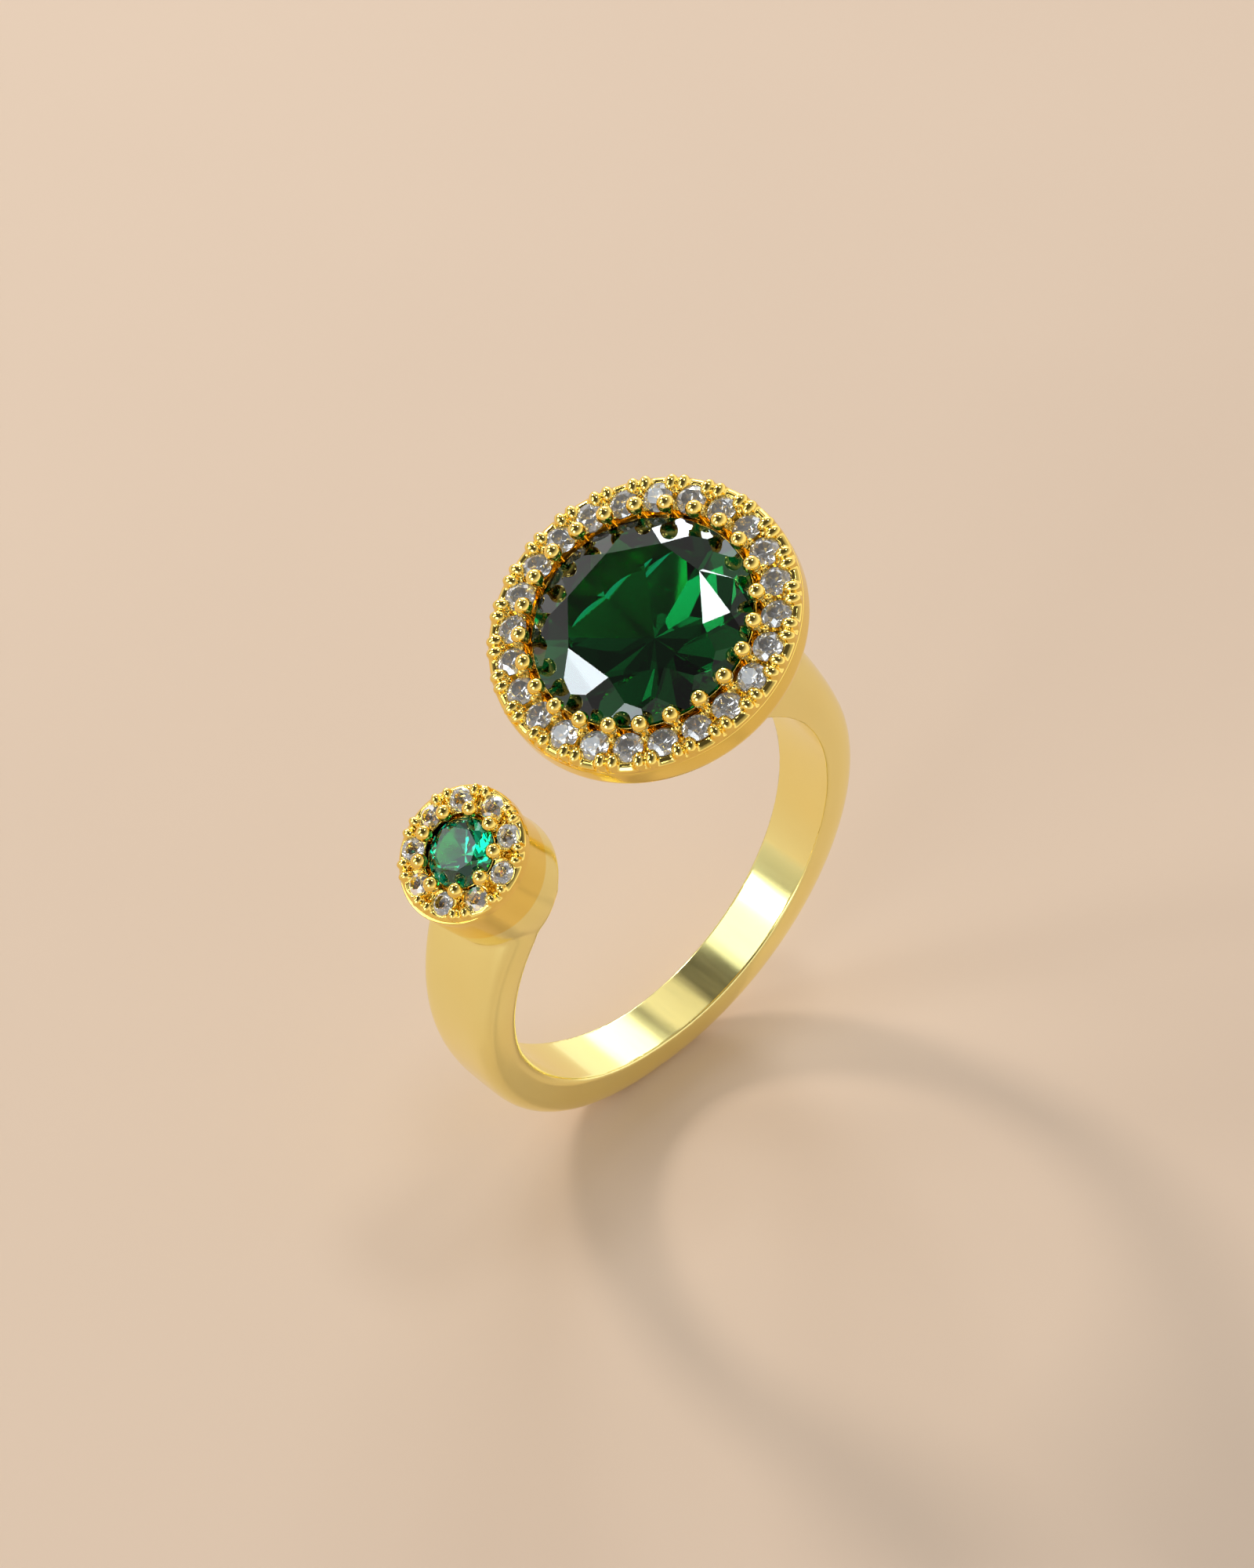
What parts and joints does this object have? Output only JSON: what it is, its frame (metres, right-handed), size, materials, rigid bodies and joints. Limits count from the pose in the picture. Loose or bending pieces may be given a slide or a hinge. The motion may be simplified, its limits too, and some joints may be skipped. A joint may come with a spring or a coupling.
{
  "type": "cocktail ring",
  "caption": "Open cocktail ring: a large round green stone in a clear-stone halo and a small matching head sit on the ends of a polished gold shank.",
  "frame": {"origin": "centre of the round finger opening, on the ring's mirror plane", "axes": "+Y along the finger's axis; +Z from the finger's centre up through the large head; +X towards the shank's plain side, away from the small head"},
  "size_m": [0.0223, 0.0124, 0.0273],
  "materials": {
    "polished_gold": "polished yellow gold plating",
    "green_crystal": "faceted and polished, deep emerald green",
    "clear_crystal": "faceted and polished, colourless"
  },
  "bodies": {
    "root": {"shank": "polished_gold", "large_cup": "polished_gold", "large_halo_plate": "polished_gold", "large_prong_crown": "polished_gold", "large_center_stone": "green_crystal", "large_halo_stone_01": "clear_crystal", "large_halo_stone_02": "clear_crystal", "large_halo_stone_03": "clear_crystal", "large_halo_stone_04": "clear_crystal", "large_halo_stone_05": "clear_crystal", "large_halo_stone_06": "clear_crystal", "large_halo_stone_07": "clear_crystal", "large_halo_stone_08": "clear_crystal", "large_halo_stone_09": "clear_crystal", "large_halo_stone_10": "clear_crystal", "large_halo_stone_11": "clear_crystal", "large_halo_stone_12": "clear_crystal", "large_halo_stone_13": "clear_crystal", "large_halo_stone_14": "clear_crystal", "large_halo_stone_15": "clear_crystal", "large_halo_stone_16": "clear_crystal", "large_halo_stone_17": "clear_crystal", "large_halo_stone_18": "clear_crystal", "large_halo_stone_19": "clear_crystal", "large_halo_stone_20": "clear_crystal", "large_halo_stone_21": "clear_crystal", "large_halo_stone_22": "clear_crystal", "large_halo_stone_23": "clear_crystal", "large_halo_stone_24": "clear_crystal", "small_cup": "polished_gold", "small_halo_plate": "polished_gold", "small_prong_crown": "polished_gold", "small_center_stone": "green_crystal", "small_halo_stone_01": "clear_crystal", "small_halo_stone_02": "clear_crystal", "small_halo_stone_03": "clear_crystal", "small_halo_stone_04": "clear_crystal", "small_halo_stone_05": "clear_crystal", "small_halo_stone_06": "clear_crystal", "small_halo_stone_07": "clear_crystal", "small_halo_stone_08": "clear_crystal", "small_halo_stone_09": "clear_crystal"}
  },
  "joints": []
}
